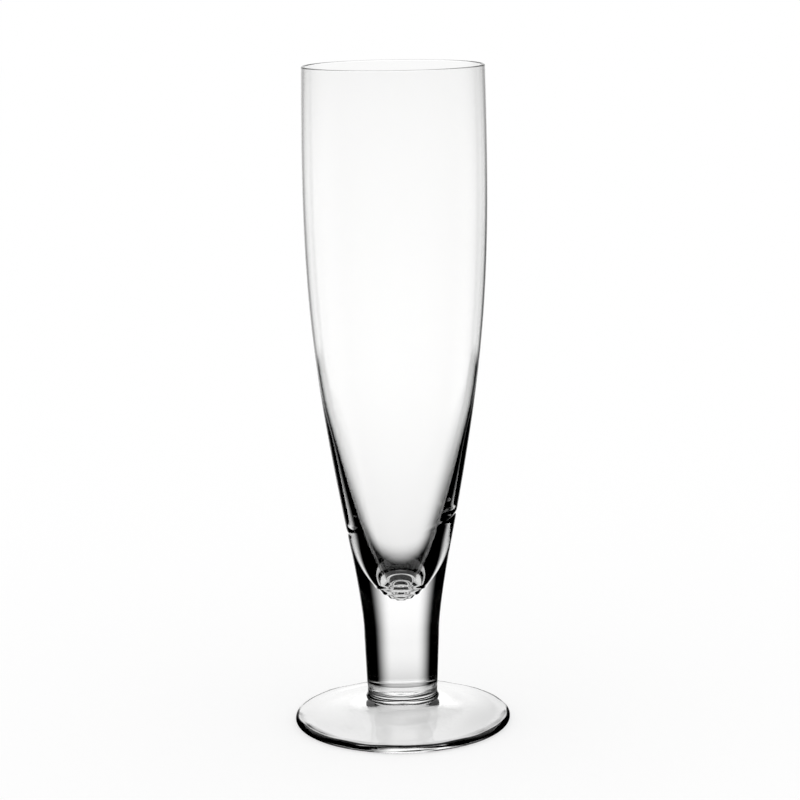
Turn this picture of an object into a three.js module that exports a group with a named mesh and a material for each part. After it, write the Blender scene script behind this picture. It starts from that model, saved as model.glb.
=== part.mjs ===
// Tall footed beer glass, made by hand from clear glass.
// Four pieces were fused while hot: a blown bowl, a solid stem that cups the thick
// bottom of the bowl, a short button under the stem, and a disc foot.
// Millimetres, +Z up. The origin is the middle of the circle that the foot stands on.

import * as THREE from 'three';

// Heights of the pieces, stacked from the table to the rim
const FOOT_HEIGHT = 9.8;
const BUTTON_HEIGHT = 4.6;
const STEM_SOLID_LENGTH = 29.9;
const CUP_DEPTH = 30.7;
const BARE_BOWL_HEIGHT = 165;

// Bowl
const RIM_RADIUS = 32.3;
const RIM_LEAN = 1.4;
const WALL = 1;
const BOWL_FLOOR = 3.45;
const CAVITY_TIP_RADIUS = 3.65;

// Stem
const SEAM_RADIUS = 20;
const FLANK_LEAN = 10.4;
const CUP_LIP = 1.1;
const SHAFT_LENGTH = 18.4;
const SHAFT_TOP_RADIUS = 13.75;
const SHAFT_BASE_RADIUS = 12.95;

// Button
const BUTTON_WAIST_RADIUS = 12.75;
const BUTTON_BASE_RADIUS = 13.2;

// Foot
const FOOT_RADIUS = 39.5;
const FOOT_RIM_THICKNESS = 3;
const FOOT_SLOPE = 13;
const MOUND_SLOPE = 34;
const STANDING_RING_WIDTH = 2.5;
const HOLLOW_DEPTH = 6.8;

// Clearance between the bowl's curved bottom and the cup that holds it
const SEAT_GAP = 0.3;

// Shape of the curves: how far each end of a curve keeps its direction, as a share
// of the curve's height or width
const RIM_HOLD = 0.46;
const FLANK_HOLD = 0.385;
const NECK_HOLD = 0.14;
const SHAFT_HOLD = 0.27;
const FOOT_HOLD = 0.72;
const MOUND_HOLD = 0.05;

// Roundness of the bowl's closed end: 2 is an ellipse, more is blunter at the tip
const SEAT_ROUNDNESS = 2;

// The hollow of the bowl opens as a hyperbola: its flare is the square of the slope it
// would reach far up. Where it meets the thin wall, a higher sharpness turns it sooner.
const CAVITY_FLARE = 0.038;
const CAVITY_SHARPNESS = 60;

// Roundness of the hollow under the foot: 1 is a cone, 2 is a parabola
const HOLLOW_ROUNDNESS = 1.15;

// Fineness of the faceted surfaces
const SEGMENTS = 56;
const BOWL_STEPS = 16;
const CAVITY_STEPS = 24;
const SEAT_STEPS = 9;
const NECK_STEPS = 9;
const LIP_STEPS = 4;
const BUTTON_STEPS = 4;
const FOOT_TOP_STEPS = 12;
const FOOT_RIM_STEPS = 6;
const HOLLOW_STEPS = 4;
const LOOKUP_STEPS = 400;

// Levels above the table that follow from the heights
const buttonBottom = FOOT_HEIGHT;
const stemBottom = buttonBottom + BUTTON_HEIGHT;
const shaftTop = stemBottom + SHAFT_LENGTH;
const seatBottom = stemBottom + STEM_SOLID_LENGTH;
const seamLevel = seatBottom + CUP_DEPTH;
const rimLevel = seamLevel + BARE_BOWL_HEIGHT;
const bowlBottom = seatBottom + SEAT_GAP;
const cavityFloor = bowlBottom + BOWL_FLOOR;
const lipRadius = WALL / 2;
const lipLevel = rimLevel - lipRadius;

const point = (radius, height) => new THREE.Vector2(radius, height);

// A point at some distance from another, in a direction given by its angle from +Z
function along(start, distance, degreesFromVertical) {
  const angle = THREE.MathUtils.degToRad(degreesFromVertical);
  const step = point(Math.sin(angle), Math.cos(angle));
  return start.clone().addScaledVector(step, distance);
}

// Round arc in the outline's plane, from one angle to another, in degrees
function arc(centre, radius, fromDegrees, toDegrees, steps) {
  const points = [];
  for (let i = 0; i <= steps; i += 1) {
    const degrees = THREE.MathUtils.lerp(fromDegrees, toDegrees, i / steps);
    const angle = THREE.MathUtils.degToRad(degrees);
    points.push(point(centre.x + radius * Math.cos(angle), centre.y + radius * Math.sin(angle)));
  }
  return points;
}

// Outside of the bowl: nearly upright at the rim, leaning in along the flank
function bowlCurve() {
  const seam = point(SEAM_RADIUS, seamLevel);
  const rim = point(RIM_RADIUS, rimLevel);
  const aboveSeam = along(seam, FLANK_HOLD * BARE_BOWL_HEIGHT, FLANK_LEAN);
  const belowRim = along(rim, -RIM_HOLD * BARE_BOWL_HEIGHT, -RIM_LEAN);
  return new THREE.CubicBezierCurve(seam, aboveSeam, belowRim, rim);
}

// Outside of the stem's upper part: the flank runs on and turns into the shaft
function neckCurve() {
  const neckLength = seamLevel - shaftTop;
  const top = point(SHAFT_TOP_RADIUS, shaftTop);
  const seam = point(SEAM_RADIUS, seamLevel);
  const aboveShaft = along(top, SHAFT_HOLD * neckLength, 0);
  const belowSeam = along(seam, -NECK_HOLD * neckLength, FLANK_LEAN);
  return new THREE.CubicBezierCurve(top, aboveShaft, belowSeam, seam);
}

// Radius of a rising curve at a height, read off a fine polyline
function radiusOn(curvePoints, height) {
  const last = curvePoints.length - 1;
  let i = 1;
  while (i < last && curvePoints[i].y < height) i += 1;
  const low = curvePoints[i - 1];
  const high = curvePoints[i];
  return THREE.MathUtils.mapLinear(height, low.y, high.y, low.x, high.x);
}

const bowlLookup = bowlCurve().getPoints(LOOKUP_STEPS);
const neckLookup = neckCurve().getPoints(LOOKUP_STEPS);

// Outside radius of the bowl and the neck at any height above the shaft
function outsideRadius(height) {
  return radiusOn(height < seamLevel ? neckLookup : bowlLookup, height);
}

// Share of the full radius that a closed, rounded end has reached, from 0 at its tip
function fullness(share, roundness) {
  return Math.sqrt(1 - (1 - Math.min(share, 1)) ** roundness);
}

// The lesser of two radii, with the turn from one to the other rounded off
function lesser(a, b, sharpness) {
  return (a ** -sharpness + b ** -sharpness) ** (-1 / sharpness);
}

// Radius of the hollow: a round tip that opens until only the thin wall is left
function cavityRadius(height) {
  const rise = height - cavityFloor;
  if (rise <= 0) return 0;
  const opening = Math.sqrt(2 * CAVITY_TIP_RADIUS * rise + CAVITY_FLARE * rise ** 2);
  return lesser(opening, outsideRadius(height) - WALL, CAVITY_SHARPNESS);
}

// Outside of the bowl's bottom inside the cup, from the axis up to the seam
function bowlBottomOutline() {
  const points = [];
  for (let i = 0; i <= SEAT_STEPS; i += 1) {
    const share = (i / SEAT_STEPS) ** 2;
    const height = THREE.MathUtils.lerp(bowlBottom, seamLevel, share);
    const room = outsideRadius(height) - CUP_LIP;
    points.push(point(room * fullness(share, SEAT_ROUNDNESS), height));
  }
  return points;
}

// The same outline one clearance further out, which is the inside of the cup
function cupOutline() {
  const inner = bowlBottomOutline();
  const last = inner.length - 1;
  return inner.map((at, i) => {
    if (i === 0) return point(0, at.y - SEAT_GAP);
    if (i === last) return point(at.x + SEAT_GAP, at.y);
    const run = inner[i + 1].clone().sub(inner[i - 1]).normalize();
    return point(at.x + SEAT_GAP * run.y, at.y - SEAT_GAP * run.x);
  });
}

function bowlOutline() {
  const outside = [];
  for (let i = 0; i < BOWL_STEPS; i += 1) {
    const height = THREE.MathUtils.lerp(seamLevel, lipLevel, i / BOWL_STEPS);
    outside.push(point(outsideRadius(height), height));
  }
  const lipCentre = point(outsideRadius(lipLevel) - lipRadius, lipLevel);
  const lip = arc(lipCentre, lipRadius, 0, 180, LIP_STEPS);
  const inside = [];
  for (let i = CAVITY_STEPS - 1; i >= 0; i -= 1) {
    const share = (i / CAVITY_STEPS) ** 2;
    const height = THREE.MathUtils.lerp(cavityFloor, lipLevel, share);
    inside.push(point(cavityRadius(height), height));
  }
  return [...bowlBottomOutline(), ...outside, ...lip, ...inside];
}

function stemOutline() {
  const outside = neckCurve().getPoints(NECK_STEPS);
  const cup = cupOutline().reverse();
  return [point(0, stemBottom), point(SHAFT_BASE_RADIUS, stemBottom), ...outside, ...cup];
}

// The button swells a little where it was pressed on the foot
function buttonOutline() {
  const base = point(BUTTON_BASE_RADIUS, buttonBottom);
  const top = point(SHAFT_BASE_RADIUS, stemBottom);
  const waist = point(BUTTON_WAIST_RADIUS, (buttonBottom + stemBottom) / 2);
  const side = new THREE.QuadraticBezierCurve(base, waist, top).getPoints(BUTTON_STEPS);
  return [point(0, buttonBottom), ...side, point(0, stemBottom)];
}

// Cone-shaped hollow, flat standing ring, round rim, then one curve up to the button
function footOutline() {
  const rimRadius = FOOT_RIM_THICKNESS / 2;
  const ringOuter = FOOT_RADIUS - rimRadius;
  const ringInner = ringOuter - STANDING_RING_WIDTH;
  const hollow = [];
  for (let i = 0; i <= HOLLOW_STEPS; i += 1) {
    const share = i / HOLLOW_STEPS;
    hollow.push(point(ringInner * share, HOLLOW_DEPTH * (1 - share ** HOLLOW_ROUNDNESS)));
  }
  const rim = arc(point(ringOuter, rimRadius), rimRadius, -90, 90, FOOT_RIM_STEPS);
  const rimTop = point(ringOuter, FOOT_RIM_THICKNESS);
  const crease = point(BUTTON_BASE_RADIUS, FOOT_HEIGHT);
  const width = ringOuter - BUTTON_BASE_RADIUS;
  const slope = along(rimTop, FOOT_HOLD * width, FOOT_SLOPE - 90);
  const mound = along(crease, MOUND_HOLD * width, 90 + MOUND_SLOPE);
  const top = new THREE.CubicBezierCurve(rimTop, slope, mound, crease);
  return [...hollow, ...rim, ...top.getPoints(FOOT_TOP_STEPS).slice(1), point(0, FOOT_HEIGHT)];
}

// Clear glass, each piece with its own material
function clearGlass() {
  return new THREE.MeshStandardMaterial({
    color: 0xf2f6f5,
    roughness: 0.02,
    metalness: 0,
    transparent: true,
    opacity: 0.3,
  });
}

// Solid of revolution about Z from an outline that starts and ends on the axis
function turned(name, outline) {
  const geometry = new THREE.LatheGeometry(outline, SEGMENTS);
  geometry.rotateX(Math.PI / 2);
  const mesh = new THREE.Mesh(geometry, clearGlass());
  mesh.name = name;
  return mesh;
}

const glass = new THREE.Group();
glass.add(turned('bowl', bowlOutline()));
glass.add(turned('stem', stemOutline()));
glass.add(turned('button', buttonOutline()));
glass.add(turned('foot', footOutline()));

export default glass;
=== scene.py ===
# %% [markdown]
# A footed beer glass in clear, hand-blown glass.
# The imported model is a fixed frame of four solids: bowl, stem, button and foot. They are
# faceted and stand a hair apart, which is right for measuring and wrong for glass,
# because light shows every facet and every gap. This lesson makes each piece again as a
# smooth surface worked out with numpy, in the same place and at the same size.

# %% Load the frame
import math

import bpy
import numpy as np
from mathutils import Matrix, Vector


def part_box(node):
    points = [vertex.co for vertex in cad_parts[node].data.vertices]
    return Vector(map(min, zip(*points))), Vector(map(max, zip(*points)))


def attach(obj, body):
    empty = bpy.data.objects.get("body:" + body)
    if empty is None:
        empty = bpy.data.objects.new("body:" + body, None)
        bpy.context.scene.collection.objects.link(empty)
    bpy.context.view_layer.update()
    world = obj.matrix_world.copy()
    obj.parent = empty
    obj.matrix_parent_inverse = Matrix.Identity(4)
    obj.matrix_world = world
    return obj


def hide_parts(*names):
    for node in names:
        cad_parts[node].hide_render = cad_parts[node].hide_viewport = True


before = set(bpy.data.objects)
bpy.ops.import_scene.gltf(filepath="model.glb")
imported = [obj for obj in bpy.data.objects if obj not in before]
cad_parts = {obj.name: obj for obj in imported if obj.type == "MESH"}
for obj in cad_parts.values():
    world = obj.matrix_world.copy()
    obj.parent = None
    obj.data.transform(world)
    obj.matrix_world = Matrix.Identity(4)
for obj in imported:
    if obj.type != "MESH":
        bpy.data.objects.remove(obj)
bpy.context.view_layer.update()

# %% [markdown]
# The camera comes first. A picture of a round glass tells where it was taken from: the
# rim and the foot are both circles, and how flat each one looks gives the camera's height
# above it. Here the rim is a thin ellipse and the foot a fuller one, so the camera stood
# about one glass height and a fifth above the table and looked gently down. The glass
# leans a little in the picture, which is the camera's roll and not the glass.

# %% Camera
CAMERA_PLACE = Vector((0.0007, -0.8734, 0.2924))
CAMERA_PITCH = math.radians(11.16)
CAMERA_ROLL = math.radians(0.883)
VIEW_ANGLE = math.radians(18.39)

camera_data = bpy.data.cameras.new("camera")
camera_data.sensor_fit = "HORIZONTAL"
camera_data.angle = VIEW_ANGLE
camera = bpy.data.objects.new("camera", camera_data)
bpy.context.scene.collection.objects.link(camera)
bpy.context.scene.camera = camera
tilt = Matrix.Rotation(math.pi / 2 - CAMERA_PITCH, 4, "X")
roll = Matrix.Rotation(-CAMERA_ROLL, 4, "Z")
camera.matrix_world = Matrix.Translation(CAMERA_PLACE) @ tilt @ roll
print("camera stands", round(CAMERA_PLACE.length, 3), "m from the foot's middle")

# %% [markdown]
# The levels at which one piece ends and the next begins are read from the frame, so a
# visible piece cannot drift away from its solid. The sizes that no box can tell, such as
# how far a curve keeps its direction, are written here once, in metres and radians.

# %% Sizes
bowl_low, bowl_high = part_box("bowl")
stem_low, stem_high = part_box("stem")
button_low, button_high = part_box("button")
foot_low, foot_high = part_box("foot")

rim_level = bowl_high[2]
seam_level = stem_high[2]
seam_radius = stem_high[0]
bowl_bottom = bowl_low[2]
weld_level = stem_low[2]
crease_level = button_low[2]
crease_radius = button_high[0]
foot_radius = foot_high[0]
table_level = foot_low[2]

RIM_RADIUS = 0.0323
RIM_LEAN = math.radians(1.4)
RIM_HOLD = 0.46
FLANK_LEAN = math.radians(10.4)
FLANK_HOLD = 0.385
NECK_HOLD = 0.14
SHAFT_HOLD = 0.27
SHAFT_LENGTH = 0.0184
SHAFT_TOP_RADIUS = 0.01375
SHAFT_BASE_RADIUS = 0.01295
WALL = 0.001
AROUND = 256

shaft_top = weld_level + SHAFT_LENGTH
lip_level = rim_level - WALL / 2
around = np.linspace(0, 2 * np.pi, AROUND, endpoint=False)
print("seam at", round(seam_level, 4), "rim at", round(rim_level, 4))

# %% [markdown]
# Every piece is a solid of revolution, so its shape is one outline. The outside of the
# bowl and the stem is one flowing line, as soft glass takes it when it is spun and pulled.
# Two cubic curves draw it, and they share their direction where they meet.

# %% Curves of the outline
OUTLINE_STEPS = 400
NECK_STEPS = 200


def direction(lean):
    """Unit step in the outline's plane at an angle from upright, as (radius, height): the
    sine and the cosine of the angle."""
    return np.array([math.sin(lean), math.cos(lean)])


def cubic(start, start_handle, end_handle, end, steps):
    """Cubic curve: each point is the mean of four corners, weighted by the chances of
    0, 1, 2 and 3 heads in three tosses of a coin that falls heads with chance t."""
    t = np.linspace(0, 1, steps)[:, None]
    s = 1 - t
    return s**3 * start + 3 * s**2 * t * start_handle + 3 * s * t**2 * end_handle + t**3 * end


bare_height = rim_level - seam_level
neck_height = seam_level - shaft_top
rim_point = np.array([RIM_RADIUS, rim_level])
seam_point = np.array([seam_radius, seam_level])
shaft_point = np.array([SHAFT_TOP_RADIUS, shaft_top])
base_point = np.array([SHAFT_BASE_RADIUS, weld_level])

bowl_side = cubic(
    seam_point,
    seam_point + FLANK_HOLD * bare_height * direction(FLANK_LEAN),
    rim_point - RIM_HOLD * bare_height * direction(-RIM_LEAN),
    rim_point,
    OUTLINE_STEPS,
)
neck_side = cubic(
    shaft_point,
    shaft_point + SHAFT_HOLD * neck_height * direction(0),
    seam_point - NECK_HOLD * neck_height * direction(FLANK_LEAN),
    seam_point,
    NECK_STEPS,
)
side = np.vstack([base_point, neck_side, bowl_side[1:]])
print("outline from", round(side[0, 1], 4), "to", round(side[-1, 1], 4), "m")

# %% [markdown]
# Hand-made glass keeps small marks of its making. The stem was a gather of soft glass
# pressed over the bowl's closed end, and its edge was then smoothed in the flame. The
# edge melted away all round except at two places, at the right and at the left, where a
# shallow dip is left. The edge isn't level either: it lies about three millimetres above
# the middle at the right, and as much below it at the left. A dip is a bell curve across
# the edge, and a second bell curve along the edge lets it run out. Glass shows even a dip
# of half a millimetre, because its slopes turn the dark outline into bright glints.

# %% Marks of the stem's edge
EDGE_TILT = 0.0033
EDGE_WAVE = 0.0005
EDGE_WAVES = 3
EDGE_WAVE_TURN = 1
GROOVE_DEPTH = 0.0004
GROOVE_WIDTH = 0.0008
RIGHT_GROOVE = math.radians(-12)
RIGHT_REACH = math.radians(26)
LEFT_GROOVE = math.radians(180)
LEFT_REACH = math.radians(16)
LEFT_SHARE = 0.7


def turn_from(place):
    """Angle of every step round the axis from one place, the short way round: the angle
    of an arrow of length one that is turned by the difference of the two."""
    return np.angle(np.exp(1j * (around - place)))


tilted = EDGE_TILT * np.cos(around)
waved = EDGE_WAVE * np.cos(EDGE_WAVES * around + EDGE_WAVE_TURN)
edge_level = seam_level + tilted + waved
groove_right = np.exp(-(turn_from(RIGHT_GROOVE) / RIGHT_REACH) ** 2)
groove_left = LEFT_SHARE * np.exp(-(turn_from(LEFT_GROOVE) / LEFT_REACH) ** 2)
groove_depth = GROOVE_DEPTH * (groove_right + groove_left)


def outside_radius(height):
    """Outside radius of the glass at any height above the button: the plain outline, less
    the groove's depth x exp(-(distance from the edge / groove width) squared)."""
    plain = np.interp(height, side[:, 1], side[:, 0])
    away = (height - edge_level) / GROOVE_WIDTH
    return plain - groove_depth * np.exp(-away**2)


print("edge runs from", round(edge_level.min(), 4), "to", round(edge_level.max(), 4), "m high")

# %% [markdown]
# The hollow was blown, so its closed end is round, like the nose of a hyperbola, and it
# opens until only the thin wall is left. A bezier could draw it too, but the hyperbola
# has one number for how round the nose is and one for how fast it opens, and both can be
# read off the bright shape seen in the glass.

# %% Hollow of the bowl
BOWL_FLOOR = 0.00345
CAVITY_TIP_RADIUS = 0.00365
CAVITY_FLARE = 0.038
CAVITY_SHARPNESS = 60.0

cavity_floor = bowl_bottom + BOWL_FLOOR


def lesser(a, b, sharpness):
    """The lesser of two radii, with the turn from one to the other rounded off: the sum
    of both to the power -sharpness, to the power -1 / sharpness."""
    return (a**-sharpness + b**-sharpness) ** (-1 / sharpness)


def cavity_radius(height):
    """Radius of the hollow. It opens as a hyperbola, radius squared = 2 x tip radius x
    rise + flare x rise squared, until only the thin wall is left."""
    rise = height - cavity_floor
    opening = np.sqrt(2 * CAVITY_TIP_RADIUS * rise + CAVITY_FLARE * rise**2)
    plain = np.interp(height, side[:, 1], side[:, 0])
    return lesser(opening, plain - WALL, CAVITY_SHARPNESS)


seam_wall = seam_radius - cavity_radius(seam_level)
print("wall at the stem's edge", round(float(seam_wall), 4), "m")

# %% [markdown]
# At the very tip of the hollow there are rings inside rings. They are ripples in its
# floor, where a cold tool chilled the glass before it was blown full. They are a cosine
# along the radius that stops softly at one circle. They need to be this deep, three
# tenths of a millimetre, because a flatter ripple only shakes the picture behind it.

# %% Ripples in the hollow's tip
TIP_REACH = 0.0064
TIP_SOFTNESS = 0.00022
RIPPLE_STEP = 0.0017
RIPPLE_DEPTH = 0.0003
TIP_STEP = 0.00012


def tip_height(radius):
    """Height of the hollow's tip at a radius: the same hyperbola solved for its rise,
    (root of (tip radius squared + flare x radius squared) - tip radius) / flare, with a
    cosine ripple and a small step down inside one circle."""
    nose = np.sqrt(CAVITY_TIP_RADIUS**2 + CAVITY_FLARE * radius**2)
    rise = (nose - CAVITY_TIP_RADIUS) / CAVITY_FLARE
    inside_circle = 0.5 - 0.5 * np.tanh((radius - TIP_REACH) / TIP_SOFTNESS)
    ripple = RIPPLE_DEPTH * np.cos(2 * np.pi * radius / RIPPLE_STEP)
    return cavity_floor + rise + inside_circle * (ripple - TIP_STEP)


print("hollow's tip at", round(tip_height(0.0), 4), "m, ripples", 2 * TIP_REACH, "m across")

# %% [markdown]
# Glass bends light at each surface it meets. Two pieces that were fused while hot have no
# surface between them, but two closed meshes do. So each closed piece wears two
# materials: clear glass where it meets the air, and nothing at all where it meets its
# neighbour. Light then runs through the join as through one body of glass. Blender adds a
# number to the first name, because the frame brings its own material of that name along.

# %% Materials
GLASS_COLOUR = (1.0, 1.0, 0.998, 1)
GLASS_BENDING = 1.52


def new_material(name):
    """A new node material with its shader and output ready."""
    material = bpy.data.materials.new(name)
    material.use_nodes = True
    nodes = material.node_tree.nodes
    return material, nodes, material.node_tree.links, nodes["Principled BSDF"]


clear_glass, nodes, links, shader = new_material("clear_glass")
shader.inputs["Base Color"].default_value = GLASS_COLOUR
shader.inputs["Roughness"].default_value = 0.0
shader.inputs["IOR"].default_value = GLASS_BENDING
shader.inputs["Transmission Weight"].default_value = 1.0

fused_join, nodes, links, shader = new_material("fused_join")
shader.inputs["Alpha"].default_value = 0.0
print("materials:", clear_glass.name, "and", fused_join.name)

# %% [markdown]
# A turned piece is a grid: rings along the outline, and steps round the axis. The first
# and the last ring have no radius, so each of them is a single point with a fan of
# triangles, and the last step round joins the first. That closes the poles and the seam.
# Blender's spin tool could do the same, but numbers leave no doubled points behind.

# %% Faces of a turned piece
def ring_faces(rings):
    """Corners of all faces in one row, and how many each face has: quads between
    neighbouring rings, and a fan of triangles round each pole."""
    ring = np.arange(rings - 2)[:, None] * AROUND + 1
    here = np.arange(AROUND)
    after = (here + 1) % AROUND
    low = ring[:-1]
    high = ring[1:]
    quads = np.stack([low + here, low + after, high + after, high + here], axis=-1)
    low_pole = np.zeros(AROUND, int)
    high_pole = np.full(AROUND, (rings - 2) * AROUND + 1)
    low_fan = np.stack([low_pole, ring[0] + after, ring[0] + here], axis=-1)
    high_fan = np.stack([high_pole, ring[-1] + here, ring[-1] + after], axis=-1)
    corners = np.concatenate([low_fan.ravel(), quads.ravel(), high_fan.ravel()])
    fan_counts = np.full(AROUND, 3)
    counts = np.concatenate([fan_counts, np.full((rings - 3) * AROUND, 4), fan_counts])
    return corners, counts


def mesh_from_faces(name, points, corners, counts):
    """Mesh from its points, the corners of all faces in one row and their counts."""
    mesh = bpy.data.meshes.new(name)
    mesh.vertices.add(len(points))
    mesh.vertices.foreach_set("co", points.astype(np.float32).ravel())
    mesh.loops.add(len(corners))
    mesh.loops.foreach_set("vertex_index", corners.astype(np.int32))
    mesh.polygons.add(len(counts))
    starts = np.concatenate([[0], np.cumsum(counts)[:-1]])
    mesh.polygons.foreach_set("loop_start", starts.astype(np.int32))
    return mesh


print("each ring has", AROUND, "steps")

# %% [markdown]
# The grid becomes a piece once it has its two materials, smooth shading and its place in
# the frame. Shading is smooth except over a real edge, such as the ledge of the cup. The
# mesh keeps its place in its own points, so the object stays at the origin, unturned.

# %% Turned pieces
SHARP_ANGLE = math.radians(40)


def turned_piece(name, node, radius, height, joined):
    """Closed piece from radius and height, each as rings by steps round the axis. The
    point at angle a of a ring lies at (radius cos a, radius sin a, height). The rings run
    from the low end of the axis, up the outside. joined marks the bands that are joins."""
    x = radius * np.cos(around)
    y = radius * np.sin(around)
    body = np.stack([x, y, height], axis=-1)[1:-1].reshape(-1, 3)
    points = np.vstack([[0, 0, height[0, 0]], body, [0, 0, height[-1, 0]]])
    corners, counts = ring_faces(len(radius))
    mesh = mesh_from_faces(name, points, corners, counts)
    mesh.materials.append(clear_glass)
    mesh.materials.append(fused_join)
    mesh.polygons.foreach_set("material_index", np.repeat(joined, AROUND).astype(np.int32))
    mesh.update(calc_edges=True)
    mesh.shade_smooth()
    mesh.set_sharp_from_angle(angle=SHARP_ANGLE)
    piece = bpy.data.objects.new(name, mesh)
    bpy.context.scene.collection.objects.link(piece)
    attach(piece, "root")
    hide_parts(node)
    print(name, "has", len(counts), "faces")


def turn_outline(name, node, stretches):
    """Turned piece from stretches of outline, each given as radius, height and whether it
    is a join. Neighbouring stretches share their end ring."""
    radii = []
    heights = []
    joined = []
    for radius, height, is_join in stretches:
        skip = 1 if radii else 0
        radii.append(radius[skip:])
        heights.append(height[skip:])
        joined += [is_join] * (len(radius) - 1)
    turned_piece(name, node, np.vstack(radii), np.vstack(heights), np.array(joined, int))


def sweep(points):
    """Radius and height of an outline that is the same all round, as rings by steps."""
    full = np.ones((len(points), AROUND))
    return points[:, :1] * full, points[:, 1:] * full


def upside_down(radius, height):
    """The same stretch, run the other way."""
    return radius[::-1], height[::-1]


# %% [markdown]
# The bowl's closed end sits in the cup of the stem. Its outline starts at the axis and
# rises as a quarter of an ellipse that leans with the flank, which is how a blown bubble
# is rounded before it is dipped into the second gather. The ledge is the rim of the cup.
# Both are joins, and the stem uses the same points.

# %% Seat and ledge
SEAT_ROUNDNESS = 2.0
CUP_LIP = 0.0011
SEAT_RINGS = 40
SEAT_CROWDING = 2
LEDGE_RINGS = 4


def fullness(share, roundness):
    """Share of the full radius that a rounded end has reached at a share of its height:
    root of (1 - (1 - share) to the power of roundness)."""
    return np.sqrt(1 - (1 - share) ** roundness)


seat_share = np.linspace(0, 1, SEAT_RINGS)[:, None] ** SEAT_CROWDING
seat_height = bowl_bottom + (edge_level - bowl_bottom) * seat_share
seat_radius = (outside_radius(seat_height) - CUP_LIP) * fullness(seat_share, SEAT_ROUNDNESS)
seat = (seat_radius, seat_height)
ledge_share = np.linspace(0, 1, LEDGE_RINGS)[:, None]
ledge_radius = seat_radius[-1] + (outside_radius(edge_level) - seat_radius[-1]) * ledge_share
ledge = (ledge_radius, edge_level * np.ones((LEDGE_RINGS, 1)))
print("cup is", round(float(seam_level - bowl_bottom), 4), "m deep")

# %% [markdown]
# Above the ledge the bowl is bare. The wall is one millimetre thick at the rim and about
# five where the stem's edge lies. The lip is a half circle, as fire polishing leaves it.
# The rings lie closer at the bottom, where the marks are. One more ring close under the
# lip keeps its round shading from running down the straight wall.

# %% Flank and lip
NEAR_LIP = 0.9995
FLANK_RINGS = 90
FLANK_CROWDING = 1.8
LIP_RINGS = 17


def wall_shares(rings, power):
    """Shares of a wall's height: even steps raised to a power, so that they lie closer
    together at the bottom, and one more share close under the lip."""
    shares = np.linspace(0, 1, rings) ** power
    return np.append(shares[:-1], [NEAR_LIP, 1.0])


flank_share = wall_shares(FLANK_RINGS, FLANK_CROWDING)[:, None]
flank_height = edge_level + (lip_level - edge_level) * flank_share
flank = (outside_radius(flank_height), flank_height)
lip_bend = np.linspace(0, np.pi, LIP_RINGS)
lip_centre = np.interp(lip_level, side[:, 1], side[:, 0]) - WALL / 2
lip_radius = lip_centre + WALL / 2 * np.cos(lip_bend)
lip_height = lip_level + WALL / 2 * np.sin(lip_bend)
lip = sweep(np.column_stack([lip_radius, lip_height]))
print("rim is", round(2 * float(lip_centre), 4), "m across, middle to middle of the wall")

# %% [markdown]
# The inside runs down from the lip along the hyperbola. Near the axis a small step in
# height is a large step in radius, because the nose is nearly flat there, so the last
# rings are spaced by radius instead and carry the ripples. With all stretches in one row,
# the bowl is a single closed surface: up the seat, out, up, over the lip and down again.
# The room inside is the sum of its slices, the mean area of two rings times their distance.

# %% Bowl
TIP_FROM = 0.0085
TIP_RINGS = 92
INSIDE_RINGS = 121
INSIDE_CROWDING = 2

tip_radius = np.linspace(TIP_FROM, 0, TIP_RINGS)
tip = np.column_stack([tip_radius, tip_height(tip_radius)])
inside_share = wall_shares(INSIDE_RINGS, INSIDE_CROWDING)[:0:-1]
inside_height = tip[0, 1] + (lip_level - tip[0, 1]) * inside_share
inside_wall = np.column_stack([cavity_radius(inside_height), inside_height])
inside_line = np.vstack([inside_wall, tip])
inside = sweep(inside_line)
turn_outline("glass_bowl", "bowl", [(*seat, 1), (*ledge, 1), (*flank, 0), (*lip, 0), (*inside, 0)])

slice_area = math.pi * inside_line[:, 0] ** 2
slice_drop = inside_line[:-1, 1] - inside_line[1:, 1]
brim_full = np.sum((slice_area[:-1] + slice_area[1:]) / 2 * slice_drop)
print("the bowl holds", round(brim_full * 1e6), "ml to the brim")

# %% [markdown]
# The stem is solid glass. Its outside is the lower part of the same flowing line, and its
# top is the cup that the bowl's end is sunk into, so the two meshes share that surface
# point for point. The black bands along its sides are not painted: a solid rod of glass
# works as a strong lens and shows the dark beside the lit background there.

# %% Stem
DISC_RINGS = 12
SHAFT_RINGS = 110
SHAFT_CROWDING = 1.4

disc_share = np.linspace(0, 1, DISC_RINGS)
weld_height = np.full(DISC_RINGS, weld_level)
weld_disc = sweep(np.column_stack([disc_share * SHAFT_BASE_RADIUS, weld_height]))
shaft_share = 1 - (1 - np.linspace(0, 1, SHAFT_RINGS)[:, None]) ** SHAFT_CROWDING
shaft_height = weld_level + (edge_level - weld_level) * shaft_share
shaft = (outside_radius(shaft_height), shaft_height)
turn_outline("glass_stem", "stem", [
    (*weld_disc, 1), (*shaft, 0), (*upside_down(*ledge), 1), (*upside_down(*seat), 1),
])
print("stem is solid for", round(float(bowl_bottom - weld_level), 4), "m above the button")

# %% [markdown]
# The button is the short length of glass that joins the stem to the foot. It has a slight
# waist and spreads into a collar where it was pressed on the foot. Both are drawn with a
# curve that leaves one point towards a corner and reaches the next point from it, because
# that is how a soft edge sags.

# %% Outline of the button
WAIST = 0.01275
COLLAR_SLOPE = math.radians(62)
COLLAR_RUN = 0.0003
COLLAR_TOP = 0.0011
COLLAR_REST = 0.0001
COLLAR_RINGS = 14
WAIST_RINGS = 44


def bend_curve(start, corner, end, steps):
    """Curve that leaves the start towards a corner and reaches the end from it: the mean
    of the three, weighted by the chances of 0, 1 and 2 heads in two tosses of a coin."""
    t = np.linspace(0, 1, steps)[:, None]
    return (1 - t) ** 2 * start + 2 * t * (1 - t) * corner + t**2 * end


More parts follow.
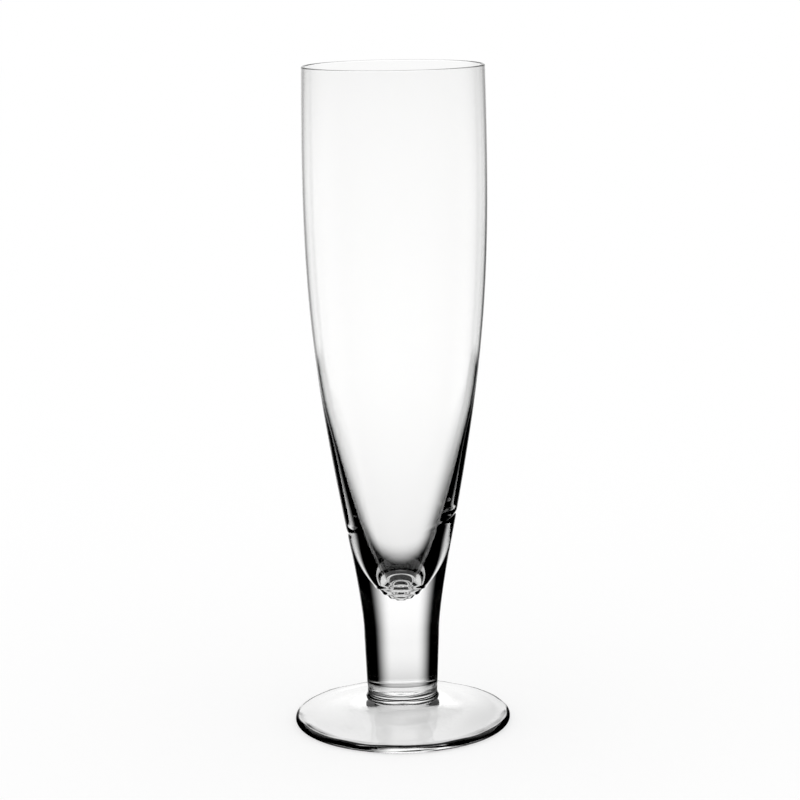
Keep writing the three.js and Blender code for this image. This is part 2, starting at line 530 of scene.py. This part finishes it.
crease_point = np.array([crease_radius, crease_level])
collar_way = np.array([-math.cos(COLLAR_SLOPE), math.sin(COLLAR_SLOPE)])
collar_corner = crease_point + COLLAR_RUN * collar_way
collar_point = np.array([WAIST + COLLAR_REST, crease_level + COLLAR_TOP])
waist_point = np.array([WAIST, (crease_level + weld_level) / 2])
collar = bend_curve(crease_point, collar_corner, collar_point, COLLAR_RINGS)
waist = bend_curve(collar_point, waist_point, base_point, WAIST_RINGS)
side_radius, side_height = sweep(np.vstack([collar, waist[1:]]))
print("collar is", round(float(collar_point[1] - crease_level), 4), "m high")

# %% [markdown]
# Near its top the button carries a fine ring, the mark of the weld between two gathers.
# It is a groove a tenth of a millimetre deep that wavers a little in height, with a bell
# curve across it. It could be a bump map, but then the exported shape would lose it.

# %% Button
WELD_DEPTH = 0.00013
WELD_WIDTH = 0.0003
WELD_DROP = 0.0014
WELD_TILT = 0.00025
WELD_WAVE = 0.00015
WELD_WAVES = 5

weld_tilt = WELD_TILT * np.cos(around)
weld_wave = WELD_WAVE * np.sin(WELD_WAVES * around)
weld_line = weld_level - WELD_DROP + weld_tilt + weld_wave
weld_mark = WELD_DEPTH * np.exp(-((side_height - weld_line) / WELD_WIDTH) ** 2)
button_side = (side_radius - weld_mark, side_height)
crease_height = np.full(DISC_RINGS, crease_level)
crease_disc = sweep(np.column_stack([disc_share * crease_radius, crease_height]))
turn_outline("glass_button", "button", [
    (*crease_disc, 1), (*button_side, 0), (*upside_down(*weld_disc), 1),
])
print("button's waist is", round(2 * float(button_side[0].min()), 4), "m across")

# %% [markdown]
# The foot is a disc that was pressed and spun out. Its underside is a shallow cone with a
# slightly rounded tip, so that only the outer ring touches the table and the glass stands
# steady. Where the cone meets the ring, a small curve takes the corner away.

# %% Underside of the foot
FOOT_RIM_THICKNESS = 0.003
STANDING_RING = 0.0025
HOLLOW_DEPTH = 0.0068
HOLLOW_ROUNDNESS = 1.15
HOLLOW_EDGE = 0.0024
LANDING_SHARE = 0.9
CONE_RINGS = 60
TURN_RINGS = 16

rim_round = FOOT_RIM_THICKNESS / 2
ring_outer = foot_radius - rim_round
ring_inner = ring_outer - STANDING_RING


def hollow_height(radius):
    """Height of the hollow's roof: depth x (1 - (radius / ring radius) to the power of its
    roundness), a cone with a slightly rounded tip."""
    return table_level + HOLLOW_DEPTH * (1 - (radius / ring_inner) ** HOLLOW_ROUNDNESS)


cone_radius = np.linspace(0, ring_inner - HOLLOW_EDGE, CONE_RINGS)
cone = np.column_stack([cone_radius, hollow_height(cone_radius)])
cone_corner = np.array([ring_inner, table_level])
landing = np.array([ring_inner + LANDING_SHARE * STANDING_RING, table_level])
landing_turn = bend_curve(cone[-1], cone_corner, landing, TURN_RINGS)
print("hollow is", round(float(cone[0, 1]), 4), "m deep at the axis")

# %% [markdown]
# The rim of the foot is a half circle, melted round in the flame. On a hand-spun foot its
# thickness wavers by a tenth of a millimetre, which breaks up the dark line along it.
# Two sine waves round the rim, of numbers that don't divide each other, look uneven.

# %% Rim of the foot
RIM_RINGS = 25
RIM_WAVE = 0.00009
RIM_WAVES = 11
RIM_TURN = 0.5
SMALL_RIM_WAVES = 17
SMALL_RIM_SHARE = 0.6

large_wave = np.sin(RIM_WAVES * around + RIM_TURN)
small_wave = SMALL_RIM_SHARE * np.sin(SMALL_RIM_WAVES * around)
rim_wave = RIM_WAVE * (large_wave + small_wave)
rim_bend = np.linspace(-np.pi / 2, np.pi / 2, RIM_RINGS)
edge_line = np.column_stack([
    ring_outer + rim_round * np.cos(rim_bend),
    table_level + rim_round + rim_round * np.sin(rim_bend),
])
edge_radius, edge_height = sweep(edge_line)
foot_rim = (edge_radius, edge_height * (1 + rim_wave / FOOT_RIM_THICKNESS))
underside = sweep(np.vstack([cone, landing_turn[1:], edge_line[:1]]))
print("rim is thinnest at", round(float(foot_rim[1][-1].min()), 5), "m")

# %% [markdown]
# The top of the foot rises at a gentle slope and turns up into the collar in a tight
# fillet. The slope matters: past about twenty degrees the light that enters the top is
# thrown back by the underside, and the glass goes dark. A cubic curve draws the slope,
# and the fillet has its corner on the line of the collar, so that the two pieces join
# without a kink.

# %% Top of the foot
FOOT_SLOPE = math.radians(13)
FOOT_HOLD = 0.72
MOUND_SLOPE = math.radians(14.5)
MOUND_HOLD = 0.05
FILLET_WIDTH = 0.001
TOP_RINGS = 120
FILLET_RINGS = 16

rim_top = np.array([ring_outer, table_level + FOOT_RIM_THICKNESS])
width = ring_outer - crease_radius
slope_way = np.array([-math.cos(FOOT_SLOPE), math.sin(FOOT_SLOPE)])
mound_way = np.array([math.cos(MOUND_SLOPE), -math.sin(MOUND_SLOPE)])
fillet_corner = crease_point - COLLAR_RUN * collar_way
fillet_start = fillet_corner + (FILLET_WIDTH - COLLAR_RUN) * mound_way
mound = cubic(
    rim_top,
    rim_top + FOOT_HOLD * width * slope_way,
    fillet_start + MOUND_HOLD * width * mound_way,
    fillet_start,
    TOP_RINGS,
)
fillet = bend_curve(fillet_start, fillet_corner, crease_point, FILLET_RINGS)
top_radius, top_height = sweep(np.vstack([mound, fillet[1:]]))
print("foot rises", round(float(crease_level - rim_top[1]), 4), "m from rim to crease")

# %% [markdown]
# No spun surface is quite even. The top has waves of a twentieth of a millimetre, which
# die out before the fillet and before the rim, and near the rim it follows the rim's own
# waver. They are too small to see as a shape, but they give the glass its soft streaks.

# %% Foot
SURFACE_WAVE = 0.00005
WAVE_LENGTH = 0.013
WAVE_TURNS = 2
LONG_WAVE_SHARE = 0.7
LONG_WAVE_TURNS = 5
LONG_WAVE_START = 1
CALM_RADIUS = 0.0155
CALM_RUN = 0.006
CALM_RIM_RUN = 0.003
RIM_WAVE_FROM = 0.031


def surface_wave(radius):
    """Two waves that run along the radius r and wind round with the angle a, one each way:
    sin(k r + 2 a) + sin(0.7 k r - 5 a + 1), where k is a full turn per wave length."""
    along_radius = 2 * np.pi * radius / WAVE_LENGTH
    long_along = LONG_WAVE_SHARE * along_radius
    short_wave = np.sin(along_radius + WAVE_TURNS * around)
    return short_wave + np.sin(long_along - LONG_WAVE_TURNS * around + LONG_WAVE_START)


clear_of_fillet = np.clip((top_radius - CALM_RADIUS) / CALM_RUN, 0, 1)
clear_of_rim = np.clip((ring_outer - top_radius) / CALM_RIM_RUN, 0, 1)
uneven = SURFACE_WAVE * surface_wave(top_radius) * clear_of_fillet * clear_of_rim
near_rim = np.clip((top_radius - RIM_WAVE_FROM) / (ring_outer - RIM_WAVE_FROM), 0, 1) ** 2
foot_top = (top_radius, top_height + uneven + rim_wave * near_rim)
turn_outline("glass_foot", "foot", [
    (*underside, 0), (*foot_rim, 0), (*foot_top, 0), (*upside_down(*crease_disc), 1),
])
print("foot is", round(2 * float(foot_radius), 4), "m across")

# %% [markdown]
# The floor is plain white. Part of what is seen of it is an even white glow, which lifts
# the glass's shadow to a pale grey without putting more light on the glass. The rays that
# pass through the glass skip the floor, because they meet the studio further down. It
# lies a tenth of a millimetre under the foot, so that the two surfaces never coincide.

# %% Material of the floor
PALE_SHARE = 0.55

pale_floor, nodes, links, shader = new_material("pale_floor")
shader.inputs["Base Color"].default_value = (1, 1, 1, 1)
shader.inputs["Roughness"].default_value = 1.0
shader.inputs["Specular IOR Level"].default_value = 0.0


def math_step(operation, *inputs):
    """One arithmetic node. Each input is a number or the output of another node."""
    node = nodes.new("ShaderNodeMath")
    node.operation = operation
    for socket, value in zip(node.inputs, inputs):
        if isinstance(value, (int, float)):
            socket.default_value = value
        else:
            links.new(value, socket)
    return node.outputs["Value"]


plain_white = nodes.new("ShaderNodeEmission")
seen = nodes.new("ShaderNodeLightPath")
in_glass = math_step("ADD", seen.outputs["Is Glossy Ray"], seen.outputs["Is Transmission Ray"])
looked_at = math_step("MINIMUM", math_step("ADD", seen.outputs["Is Camera Ray"], in_glass), 1.0)
mix = nodes.new("ShaderNodeMixShader")
links.new(math_step("MULTIPLY", looked_at, PALE_SHARE), mix.inputs["Fac"])
links.new(shader.outputs["BSDF"], mix.inputs[1])
links.new(plain_white.outputs["Emission"], mix.inputs[2])
links.new(mix.outputs["Shader"], nodes["Material Output"].inputs["Surface"])
print("white share of the floor", PALE_SHARE)

# %% [markdown]
# The floor itself is one large square, far wider than the view, so that its edge never
# shows. It belongs to the stage and not to the glass.

# %% Floor
FLOOR_DROP = 0.0001
FLOOR_REACH = 4.0

floor_mesh = bpy.data.meshes.new("floor")
corner_signs = [(-1, -1), (1, -1), (1, 1), (-1, 1)]
places = [(x * FLOOR_REACH, y * FLOOR_REACH, -FLOOR_DROP) for x, y in corner_signs]
floor_mesh.from_pydata(places, [], [(0, 1, 2, 3)])
floor_mesh.materials.append(pale_floor)
floor = bpy.data.objects.new("floor", floor_mesh)
bpy.context.scene.collection.objects.link(floor)
floor.visible_transmission = False
floor.visible_glossy = False
print("floor is", 2 * FLOOR_REACH, "m across")

# %% [markdown]
# The world is an even white, like a room of white walls. It lights the floor from all
# round, which gives the soft, faint shadow under the foot, and it is the background above
# the floor's far edge.

# %% World
WORLD_STRENGTH = 1.0

world = bpy.data.worlds.new("studio")
bpy.context.scene.world = world
world.use_nodes = True
background = world.node_tree.nodes["Background"]
background.inputs["Color"].default_value = (1, 1, 1, 1)
background.inputs["Strength"].default_value = WORLD_STRENGTH
print("world is an even white of strength", WORLD_STRENGTH)

# %% [markdown]
# Clear glass has no colour of its own to show: all that is seen of it is how it bends the
# light around it. So the studio is part of the picture. This one was worked out from the
# photo: rays were followed from the camera through the glass shape, and the brightness of
# the walls round the glass was chosen so that the bent rays give the tones seen. The
# answer is the usual bright-field setup. A lit panel stands close behind the glass, with
# soft edges, and fades below the table's edge. Black gaps beside it draw the dark
# outlines. Two dimmer side lights begin beyond the gaps, above the height of the stem,
# and so the stem's bands stay black while the bowl's walls are light. High up, the room
# is dim grey. Directions are angles from straight behind the glass, heights are metres
# above the table, and each softness is the half width of a blurred edge.

# %% Sizes of the studio
TENT_RADIUS = 0.186
TENT_TOP = 0.9
TENT_FOOT = -0.7
BACK_LEFT = math.radians(25.8)
BACK_LEFT_SOFTNESS = math.radians(11.5)
BACK_RIGHT = math.radians(20.5)
BACK_RIGHT_SOFTNESS = math.radians(10.9)
BACK_BOTTOM = -0.040
BACK_BOTTOM_SOFTNESS = 0.022
BACK_STRENGTH = 1.178
BACK_MIDDLE = 0.107
BACK_FADE = 11.1
SIDE_START = math.radians(34.4)
SIDE_START_SOFTNESS = math.radians(5.6)
LEFT_END = math.radians(74)
RIGHT_END = math.radians(85)
SIDE_END_SOFTNESS = math.radians(23.7)
SIDE_BOTTOM = 0.0953
SIDE_BOTTOM_FALL = 0.155
SIDE_FALL_START = math.radians(60)
SIDE_BOTTOM_LAST = 0.03
SIDE_BOTTOM_SOFTNESS = 0.0062
SIDE_TOP = 0.208
SIDE_TOP_SOFTNESS = 0.047
LEFT_STRENGTH = 0.724
RIGHT_STRENGTH = 0.787
ROOM_STRENGTH = 0.41
ROOM_BOTTOM = 0.193
ROOM_SOFTNESS = 0.05
print("studio walls", TENT_RADIUS, "m from the axis")

# %% [markdown]
# The panel has to stand behind the glass, whichever side the picture is taken from. An
# empty with a locked-track constraint does that: it stays upright and turns its front to
# the camera, as an assistant would walk round with the panel. What is parented to it
# turns along, and the glass and the floor stay where they are.

# %% Camera arm
rig = bpy.data.objects.new("camera_arm", None)
bpy.context.scene.collection.objects.link(rig)
facing = rig.constraints.new("LOCKED_TRACK")
facing.target = camera
facing.track_axis = "TRACK_NEGATIVE_Y"
facing.lock_axis = "LOCK_Z"
print(rig.name, "follows", facing.target.name)

# %% [markdown]
# The brightness of the walls is worked out in their material, from the direction and the
# height of each point. Every part of it is a product of soft steps, each 1 on one side of
# an edge and 0 on the other. An image could hold the same picture, but edges that are
# numbers can be moved one by one.

# %% Soft steps
studio_cards, nodes, links, shader = new_material("studio_cards")
nodes.remove(shader)


def up_to(value, edge, softness):
    """1 below the edge and 0 above it, with a soft turn: with t running from 0 to 1 over
    the blurred edge, 3 x t squared - 2 x t cubed."""
    ramp = nodes.new("ShaderNodeMapRange")
    ramp.interpolation_type = "SMOOTHSTEP"
    ramp.inputs["From Min"].default_value = edge + softness
    ramp.inputs["From Max"].default_value = edge - softness
    links.new(value, ramp.inputs["Value"])
    return ramp.outputs["Result"]


def product(*factors):
    """All factors multiplied."""
    total = factors[0]
    for factor in factors[1:]:
        total = math_step("MULTIPLY", total, factor)
    return total


coordinates = nodes.new("ShaderNodeTexCoord")
split = nodes.new("ShaderNodeSeparateXYZ")
links.new(coordinates.outputs["Object"], split.inputs["Vector"])
turn = math_step("ARCTAN2", split.outputs["X"], split.outputs["Y"])
turn_back = math_step("MULTIPLY", turn, -1.0)
height = split.outputs["Z"]
depth = math_step("MULTIPLY", height, -1.0)
print("direction and height are worked out in", len(nodes), "nodes")

# %% [markdown]
# The lit panel fills one sector behind the glass. It is brightest at its middle and fades
# with the square of the distance above and below it, as a card lit by one lamp does.

# %% Panel behind the glass
off_middle = math_step("SUBTRACT", height, BACK_MIDDLE)
fade = product(off_middle, off_middle, BACK_FADE)
panel_light = math_step("MAXIMUM", math_step("SUBTRACT", BACK_STRENGTH, fade), 0.0)
right_of_panel = up_to(turn, BACK_RIGHT, BACK_RIGHT_SOFTNESS)
left_of_panel = up_to(turn_back, BACK_LEFT, BACK_LEFT_SOFTNESS)
sector = product(right_of_panel, left_of_panel)
back = product(panel_light, sector, up_to(depth, -BACK_BOTTOM, BACK_BOTTOM_SOFTNESS))
print("panel spans", round(math.degrees(BACK_LEFT + BACK_RIGHT)), "degrees")

# %% [markdown]
# The side lights start beyond the black gaps. Their lower edge is level at first, so that
# nothing bright reaches the neck of the stem, and then slopes down towards the camera.
# Left and right differ a little in strength and in reach. The room is the dim light that
# remains high up, outside the panel's sector.

# %% Side lights and room
aside = math_step("ABSOLUTE", turn)
past = math_step("MAXIMUM", math_step("SUBTRACT", aside, SIDE_FALL_START), 0.0)
sloped = math_step("SUBTRACT", SIDE_BOTTOM, product(past, SIDE_BOTTOM_FALL))
side_bottom = math_step("MAXIMUM", sloped, SIDE_BOTTOM_LAST)
side_area = product(
    up_to(math_step("MULTIPLY", aside, -1.0), -SIDE_START, SIDE_START_SOFTNESS),
    up_to(math_step("SUBTRACT", side_bottom, height), 0.0, SIDE_BOTTOM_SOFTNESS),
    up_to(height, SIDE_TOP, SIDE_TOP_SOFTNESS),
)
to_right = math_step("GREATER_THAN", turn, 0.0)
to_left = math_step("SUBTRACT", 1.0, to_right)
right_reach = up_to(turn, RIGHT_END, SIDE_END_SOFTNESS)
left_reach = up_to(turn_back, LEFT_END, SIDE_END_SOFTNESS)
right = product(side_area, to_right, right_reach, RIGHT_STRENGTH)
left = product(side_area, to_left, left_reach, LEFT_STRENGTH)
beside_panel = math_step("SUBTRACT", 1.0, sector)
room = product(up_to(depth, -ROOM_BOTTOM, ROOM_SOFTNESS), beside_panel, ROOM_STRENGTH)
print("side lights", LEFT_STRENGTH, "and", RIGHT_STRENGTH, "as bright as white")

# %% [markdown]
# The sum of the lights is the strength of a plain glow. The walls are seen in and through
# the glass only: the camera looks past them, and they neither light the floor nor throw a
# shadow on it.

# %% Glow of the walls
def glow_only(strength):
    """Makes the material at hand a glow of one strength, a number or a node's output."""
    glow = nodes.new("ShaderNodeEmission")
    if isinstance(strength, float):
        glow.inputs["Strength"].default_value = strength
    else:
        links.new(strength, glow.inputs["Strength"])
    links.new(glow.outputs["Emission"], nodes["Material Output"].inputs["Surface"])


def seen_in_glass_only(stage_piece):
    """Hides a stage piece from the camera and from everything but glass."""
    stage_piece.visible_camera = False
    stage_piece.visible_diffuse = False
    stage_piece.visible_shadow = False
    stage_piece.visible_volume_scatter = False


glow_only(math_step("ADD", math_step("ADD", back, room), math_step("ADD", left, right)))
studio_cards.cycles.emission_sampling = "NONE"
print(studio_cards.name, "has", len(nodes), "nodes")

# %% [markdown]
# The walls are an upright cylinder with a floor and a ceiling, so no ray gets out beside
# them. Only the glass stands inside.

# %% Studio walls
COLUMNS = 128

column_angle = np.linspace(0, 2 * np.pi, COLUMNS, endpoint=False)
circle = np.column_stack([np.cos(column_angle), np.sin(column_angle)])
low_circle = np.column_stack([circle * TENT_RADIUS, np.full(COLUMNS, TENT_FOOT)])
high_circle = np.column_stack([circle * TENT_RADIUS, np.full(COLUMNS, TENT_TOP)])
column = np.arange(COLUMNS)
beside = (column + 1) % COLUMNS
wall_faces = np.column_stack([column, beside, COLUMNS + beside, COLUMNS + column])
end_faces = [column.tolist(), (COLUMNS + column).tolist()]
studio_mesh = bpy.data.meshes.new("studio_walls")
studio_places = np.vstack([low_circle, high_circle]).tolist()
studio_mesh.from_pydata(studio_places, [], end_faces + wall_faces.tolist())
studio_mesh.materials.append(studio_cards)
studio = bpy.data.objects.new("studio_walls", studio_mesh)
bpy.context.scene.collection.objects.link(studio)
studio.parent = rig
seen_in_glass_only(studio)
print("studio walls have", len(studio_mesh.polygons), "faces")

# %% [markdown]
# The foot is seen against the table right under it, which lies in a little shade. A disc
# just under the foot carries that light. It is dimmer than the background, so the foot
# reads as pale grey glass on a white table, and it is seen in and through the glass only.

# %% Lit table under the foot
TABLE_STRENGTH = 0.775
TABLE_REACH = 0.0385

table_light, nodes, links, shader = new_material("table_light")
nodes.remove(shader)
glow_only(TABLE_STRENGTH)
table_light.cycles.emission_sampling = "NONE"
lit_edge = np.column_stack([circle * TABLE_REACH, np.full(COLUMNS, -FLOOR_DROP / 2)])
table_mesh = bpy.data.meshes.new("lit_table")
table_mesh.from_pydata(lit_edge.tolist(), [], [column.tolist()])
table_mesh.materials.append(table_light)
lit_table = bpy.data.objects.new("lit_table", table_mesh)
bpy.context.scene.collection.objects.link(lit_table)
seen_in_glass_only(lit_table)
print("lit table out to", TABLE_REACH, "m")

# %% [markdown]
# The last step sets the scene's view transform to Standard.

# %% Finish
scene = bpy.context.scene
scene.view_settings.view_transform = "Standard"
